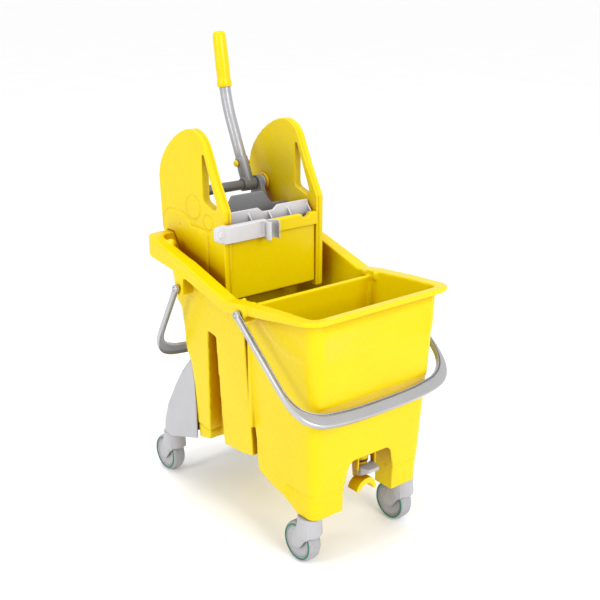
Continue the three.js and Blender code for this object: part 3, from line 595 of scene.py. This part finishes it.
def carriage():
    """Its front edges, which rounding draws back, close up to the bucket again, and its sloping back is
    whole behind the tops of the stems."""
    def close_up(place, normal):
        return Vector((0, -0.002, 0)) if normal.y < -0.6 else Vector((0, 0, 0))
    backing = []
    for side, sign in SIDES:
        stem = f"caster_stem_rear_{side}"
        top = middle(stem) + Vector((0, 0, size(stem).z / 2))
        points = [(top.y + back * MM, top.z + up * MM) for back, up in STEM_BACKING]
        backing.append(prism(points, top.x - 0.0065, top.x + 0.0065, "x"))
    softened("rear_carriage", voxel=0.0019, rounds=5, extras=backing, displace=close_up, keep=0.25)


# ---------------------------------------------------------------- casters
# outlines of a fork's widened blades: distance back from the stem and height, in millimetres
BLADE_FLARE = [(-16.5, 68), (-15.5, 60), (-5, 53.5), (8, 44.5), (19, 32.5), (27, 31), (31, 40), (26, 58),
               (20, 72), (14, 86), (-14, 86)]
CUP_FLARE = [(-11, 76), (-10, 60), (1, 53), (10, 55), (14, 76)]


STEM_COVER = 16.0  # how far a stem's top stays below the roof of its socket, in millimetres


def fork_flares(tag):
    """The side blades widen into the cup in one sweep, on both faces."""
    stem = middle(f"caster_stem_{tag}")
    solids = []
    for sign in (-1, 1):
        for outline, near, far in ((BLADE_FLARE, 15.3, 19.4), (CUP_FLARE, 15.3, 21.6)):
            points = [(stem.y + y * MM, z * MM) for y, z in outline]
            ends = sorted((stem.x + sign * near * MM, stem.x + sign * far * MM))
            solids.append(prism(points, *ends, "x"))
    return solids


def caster(tag, fork_shape):
    fork = fork_shape.copy()
    fork.transform(Matrix.Translation(middle(f"caster_stem_{tag}") - middle(f"caster_stem_{CORNERS[0]}")))
    stands_for(f"caster_fork_{tag}", fork)
    across = (1, 0, 0)

    tyre = middle(f"caster_tyre_{tag}")
    half = size(f"caster_tyre_{tag}").x / 2 / MM
    radius = size(f"caster_tyre_{tag}").z / 2 / MM
    tread = rounded([
        (30, -half), (radius - 3.4, -half, 1.2), (radius - 1.0, -half + 2.6, 4.0),
        (radius, -half + 7.6, 14.0), (radius, half - 7.6, 14.0),
        (radius - 1.0, half - 2.6, 4.0), (radius - 3.4, half, 1.2), (30, half)])
    stands_for(f"caster_tyre_{tag}", turned(tread, tyre, across, 72))

    hub = middle(f"caster_hub_{tag}")
    face = size(f"caster_hub_{tag}").x / 2 / MM
    sunk = face - 1.9
    half_profile = [(4.2, face - 0.4), (4.8, face), (11.2, face), (12.0, face - 0.7), (12.6, sunk),
                    (13.4, sunk - 0.2), (24.6, sunk - 0.5), (25.4, sunk - 0.3), (26.2, face - 1.6),
                    (27.0, face - 1.3), (29.0, face - 1.6), (29.7, face - 2.2)]
    mirrored = [(r, -x) for r, x in reversed(half_profile)]
    stands_for(f"caster_hub_{tag}", turned(half_profile + mirrored, hub, across, 64))

    for side, sign in SIDES:
        guard = f"caster_guard_{side}_{tag}"
        thick = size(guard).x / 2 / MM
        outer = size(guard).z / 2 / MM
        inner = outer - 3.2
        corners = [(inner, -thick, 0.4), (outer, -thick, 0.4), (outer, thick, 0.4), (inner, thick, 0.4)]
        ring = rounded(corners, 3)
        stands_for(guard, turned(ring, middle(guard), across, 72))

    axle = f"caster_axle_{tag}"
    end = size(axle).x / 2 / MM
    pin = [(0, -end), (2.6, -end), (3.7, -end + 0.4), (4.0, -end + 1.2), (4.0, end - 1.2), (3.7, end - 0.4),
           (2.6, end), (0, end)]
    stands_for(axle, turned(pin, middle(axle), across, 28))

    stem = f"caster_stem_{tag}"
    end = size(stem).z / 2 / MM
    top = end - STEM_COVER
    rod = [(0, -end), (5.0, -end), (5.5, -end + 0.8), (5.5, top - 2.2), (4.2, top), (0, top)]
    stands_for(stem, turned(rod, middle(stem), (0, 0, 1), 28))


def casters():
    first = CORNERS[0]
    solids = [NODES[f"caster_fork_{first}"].data, *fork_flares(first)]
    fork_shape = skin(solids, voxel=0.0009, rounds=5, keep=0.35)
    for tag in CORNERS:
        caster(tag, fork_shape)


# ---------------------------------------------------------------- bails
ARM_OUT, ARM_IN = 192.0, 182.0
GRIP_HALF = 12.5
EYE_R = 7.6
# section of the bar: measured from the outer or inner edge, and height above its middle plane
BAR_SECTION = [
    ("outer", 0.0, 3.6), ("outer", 0.9, 4.7), ("outer", 2.6, 5.3), ("inner", 6.2, 5.4), ("inner", 5.2, 4.9),
    ("inner", 4.8, 2.4), ("inner", 2.9, 2.4), ("inner", 2.5, 4.9), ("inner", 1.8, 5.5), ("inner", 0.8, 5.2),
    ("inner", 0.0, 4.2), ("inner", 0.0, -4.6), ("inner", 0.8, -5.5), ("inner", 2.3, -5.5),
    ("inner", 2.7, -1.4),
    ("outer", 2.7, -1.4), ("outer", 2.3, -5.5), ("outer", 0.8, -5.5), ("outer", 0.0, -4.6),
]


def hoop_edges(reach):
    """Outer and inner edge of the right half of a hoop, in (x, distance from the pivot), in millimetres."""
    low, high = reach + GRIP_HALF, reach - GRIP_HALF
    arm_steps = 8
    outer, inner = [], []
    for step in range(arm_steps + 1):
        share = step / arm_steps
        outer.append((ARM_OUT, 5.5 + (reach - 82 - 5.5) * share))
        inner.append((ARM_IN, 5.5 + (reach - 86 - 5.5) * share))
    outer += bezier(outer[-1], (ARM_OUT, reach - 33), (178, low - 18), (138, low - 8), 18)
    inner += bezier(inner[-1], (ARM_IN, reach - 50), (165, high - 17), (130, high - 8), 18)
    outer += bezier((138, low - 8), (95, low), (45, low), (0, low), 10)
    inner += bezier((130, high - 8), (90, high - 1), (45, high), (0, high), 10)
    return outer, inner


def bail(tag, side, reach, angle):
    pivot = (middle(f"{tag}_bail_pin_left") + middle(f"{tag}_bail_pin_right")) / 2
    turn = math.radians(angle)
    along = Vector((0, side * math.cos(turn), -math.sin(turn)))
    up = Vector((0, side * math.sin(turn), math.cos(turn)))
    outer, inner = hoop_edges(reach)
    stations = list(zip(outer, inner))
    stations += [((-o[0], o[1]), (-i[0], i[1])) for o, i in reversed(stations[:-1])]

    def build(bm):
        rings = []
        for edges in stations:
            ends = {"outer": Vector(edges[0]), "inner": Vector(edges[1])}
            across = (ends["inner"] - ends["outer"]).normalized()
            ring = []
            for edge, inset, height in BAR_SECTION:
                spot = ends[edge] + across * (inset if edge == "outer" else -inset)
                place = Vector((spot.x, 0, 0)) + along * spot.y + up * height
                ring.append(bm.verts.new(pivot + place * MM))
            rings.append(ring)
        count = len(BAR_SECTION)
        for ring, following in zip(rings, rings[1:]):
            for step in range(count):
                after = (step + 1) % count
                bm.faces.new([ring[step], ring[after], following[after], following[step]])
        bm.faces.new(rings[0])
        bm.faces.new(rings[-1])
    solids = [mesh_from(build)]
    for name, sign in SIDES:
        ring = rounded([(4.3, 182.2, 0.5), (EYE_R, 182.2, 1.2), (EYE_R, 191.6, 1.4), (4.3, 191.6, 0.5)])
        centre = Vector((0, pivot.y, pivot.z))
        solids.append(turned([(r, x * sign) for r, x in ring], centre, (1, 0, 0), 40))
    fused(f"{tag}_bail", solids, voxel=0.0008, rounds=2, keep=0.25)


def bails():
    bail("front", -1, 249.5, 40)
    bail("rear", 1, 200.0, 60)
    for tag in ("front", "rear"):
        for side, sign in SIDES:
            pin = f"{tag}_bail_pin_{side}"
            end = size(pin).x / 2 / MM
            profile = [(0, -end), (2.2, -end), (3.6, -end + 0.9), (4.0, -end + 2.0), (4.0, end - 2.0),
                       (3.6, end - 0.9), (2.2, end), (0, end)]
            stands_for(pin, turned(profile, middle(pin), (1, 0, 0), 28))


# ---------------------------------------------------------------- wringer
PAD_HEIGHT = 0.0008
PAD_GROOVE = 0.0013
EDGE_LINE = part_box("wringer_cheek_right")[0][0] + 0.0055


def pad_distance(y, z):
    """Signed distance to the raised pads on a cheek: two rounded panels and two discs. Negative inside."""
    def panel(low, high, top, radius):
        across = max(low + radius - y, y - high + radius, 0.0)
        over = max(z - top + radius, 0.0)
        inside = min(max(low + radius - y, y - high + radius, z - top + radius), 0.0)
        return math.hypot(across, over) + inside - radius

    def disc(centre_y, centre_z, radius):
        return math.hypot(y - centre_y, z - centre_z) - radius
    base = CHEEK_FRONT
    top = SHAFT.z
    shapes = [
        panel(base + 0.112, base + 0.215, top - 0.026, 0.034),
        panel(base + 0.056, base + 0.150, top - 0.048, 0.012),
        disc(base + 0.104, top - 0.010, 0.024),
        disc(base + 0.054, top - 0.032, 0.015),
    ]
    return min(shapes)


def cheek_surface(sign):
    """Moulded relief of one cheek: raised pads ringed by grooves and a small dimple outside, and a line
    groove along its front and top edges.
    """
    def move(place, normal):
        outward = normal.x * sign
        offset = 0.0
        if outward > 0.8:
            distance = pad_distance(place.y, place.z)
            offset += PAD_HEIGHT * (1 - smooth_step(distance, -0.0008, 0.0008))
            offset -= PAD_GROOVE * (1 - smooth_step(abs(distance), 0.0006, 0.0018))
            dot = math.hypot(place.y - CHEEK_FRONT - 0.152, place.z - SHAFT.z + 0.054)
            offset -= 0.0012 * (1 - smooth_step(dot, 0.0015, 0.003))
        nose = CHEEK_FRONT + 0.057 * min(max((place.z - 0.627) / 0.111, 0.0), 1.0)
        on_rim = (normal.y < -0.25 and place.y < nose + 0.012) or place.z > 0.745
        if on_rim and abs(normal.x) < 0.4:
            off_line = abs(abs(place.x) - EDGE_LINE)
            return normal * -0.0024 * (1 - smooth_step(off_line, 0.0008, 0.0024))
        return Vector((sign * offset, 0, 0))
    return move


def clip_arm():
    """The crowned front of the clip's arm, in millimetres from its left end and its back face."""
    low, high = (Vector(corner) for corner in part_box("mop_clip"))
    crown = [(17, 2), (17, 11.5), (27, 13.6), (45, 14.6), (70, 14.4), (92, 12.6), (106, 9.6), (118, 8.2),
             (118, 2)]
    points = [(low.x + x * MM, high.y - y * MM) for x, y in crown]
    return prism(points, low.z + 0.0055, low.z + 0.0370, "z")


def wringer():
    for side, sign in SIDES:
        softened(f"wringer_cheek_{side}", voxel=0.0011, rounds=6, displace=cheek_surface(sign), keep=0.2)
    panel_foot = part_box("wringer_front_panel")[0][2]
    grid_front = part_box("wringer_base_grid")[0][1]

    def longer(place, normal):
        return Vector((0, 0, -0.0045 * (1 - smooth_step(place.z, panel_foot, panel_foot + 0.01))))

    def set_back(place, normal):
        return Vector((0, 0.008 * (1 - smooth_step(place.y, grid_front, grid_front + 0.006)), 0))
    softened("wringer_front_panel", voxel=0.0012, rounds=4, displace=longer, keep=0.2)
    softened("wringer_rear_panel", voxel=0.0014, rounds=4, keep=0.3)
    softened("wringer_base_grid", voxel=0.0012, rounds=3, displace=set_back, keep=0.4)
    softened("press_plate_front", voxel=0.0010, rounds=3, keep=0.2)
    softened("press_plate_rear", voxel=0.0011, rounds=3, keep=0.2)
    softened("mop_clip", voxel=0.0007, rounds=5, extras=[clip_arm()], keep=0.35)
    for side, sign in SIDES:
        softened(f"press_cam_{side}", voxel=0.0008, rounds=4, keep=0.4)

    across = (1, 0, 0)
    end = size("press_plate_pin").x / 2 / MM
    rod = [(0, -end), (2.2, -end), (2.9, -end + 0.8), (2.9, end - 0.8), (2.2, end), (0, end)]
    stands_for("press_plate_pin", turned(rod, middle("press_plate_pin"), across, 24))

    end = size("press_shaft").x / 2 / MM
    shaft = [(0, -end), (9.4, -end), (10.5, -end + 1.1), (10.5, end - 1.1), (9.4, end), (0, end)]
    stands_for("press_shaft", turned(shaft, SHAFT, across, 56))
    for side, sign in SIDES:
        flange = f"shaft_flange_{side}"
        thick = size(flange).x / 2 / MM
        outer = size(flange).z / 2 / MM
        bore = 10.9
        profile = rounded([(bore, -thick, 0.4), (outer - 2.4, -thick, 1.2), (outer, -thick + 1.6, 1.0),
                           (outer, thick, 0.5), (bore, thick, 0.4)], 4)
        profile = [(r, x * sign) for r, x in profile]
        stands_for(flange, turned(profile, middle(flange), across))
        bush = f"shaft_bush_{side}"
        thick = size(bush).x / 2 / MM
        outer = size(bush).z / 2 / MM
        groove = outer - 1.6
        profile = rounded([
            (bore, -thick, 0.4), (outer - 1.0, -thick, 0.8), (outer - 1.0, -thick + 1.8, 0.3),
            (groove, -thick + 2.2, 0.3), (groove, -thick + 3.2, 0.3), (outer, -thick + 3.6, 0.6),
            (outer, thick, 0.6), (bore, thick, 0.4)], 4)
        profile = [(r, x * sign) for r, x in profile]
        stands_for(bush, turned(profile, middle(bush), across))


# ---------------------------------------------------------------- lever
def lever():
    softened("lever_socket", voxel=0.0007, rounds=4, keep=0.4)
    lever_x = middle("lever_tube").x
    foot = Vector((lever_x, SHAFT.y, SHAFT.z))
    bend = foot + Vector((0, 0.072, 0.163))
    lower = (bend - foot).normalized()
    upper = Vector((0, 0.022, 0.143)).normalized()
    run = 0.042
    start = foot + lower * 0.022
    path = [start, start + lower * 0.006]
    for step in range(17):
        share = step / 16
        first = (bend - lower * run).lerp(bend, share)
        second = bend.lerp(bend + upper * run, share)
        path.append(first.lerp(second, share))
    path += [bend + upper * 0.125, bend + upper * 0.134]
    radius = size("lever_tube").x / 2
    last = len(path) - 1
    stands_for("lever_tube", swept(path, lambda index: radius - (0.0008 if index in (0, last) else 0)))

    length = 144.7
    profile = [(0, 40), (12.2, 40), (12.4, 31.6), (13.6, 31.0), (14.8, 31.6), (15.3, 33.4), (15.4, 37),
               (15.3, 41), (14.6, 45.4), (14.0, 47.6), (13.9, 49), (14.2, 60), (14.5, 72), (14.4, 90),
               (14.1, 108), (14.0, length - 18), (13.7, length - 10), (12.9, length - 5),
               (11.2, length - 2), (8.0, length - 0.3), (4.0, length + 0.6), (0, length + 0.8)]
    stands_for("lever_grip", turned(profile, bend, upper, 64))

    pin = middle("lever_lock_pin")
    centre = Vector((lever_x, pin.y, pin.z))
    knob = [(0, -20.6), (3.4, -20.3), (5.8, -19.4), (7.2, -17.8), (7.3, -16.2), (6.5, -15.0), (5.2, -14.6),
            (3.0, -14.4), (3.0, 14.6), (3.9, 14.8), (4.5, 15.3), (4.5, 16.6), (3.6, 17.6), (0, 18)]
    stands_for("lever_lock_pin", turned(knob, centre, (1, 0, 0), 32))


add_studio()
bucket()
drain()
carriage()
casters()
bails()
wringer()
lever()
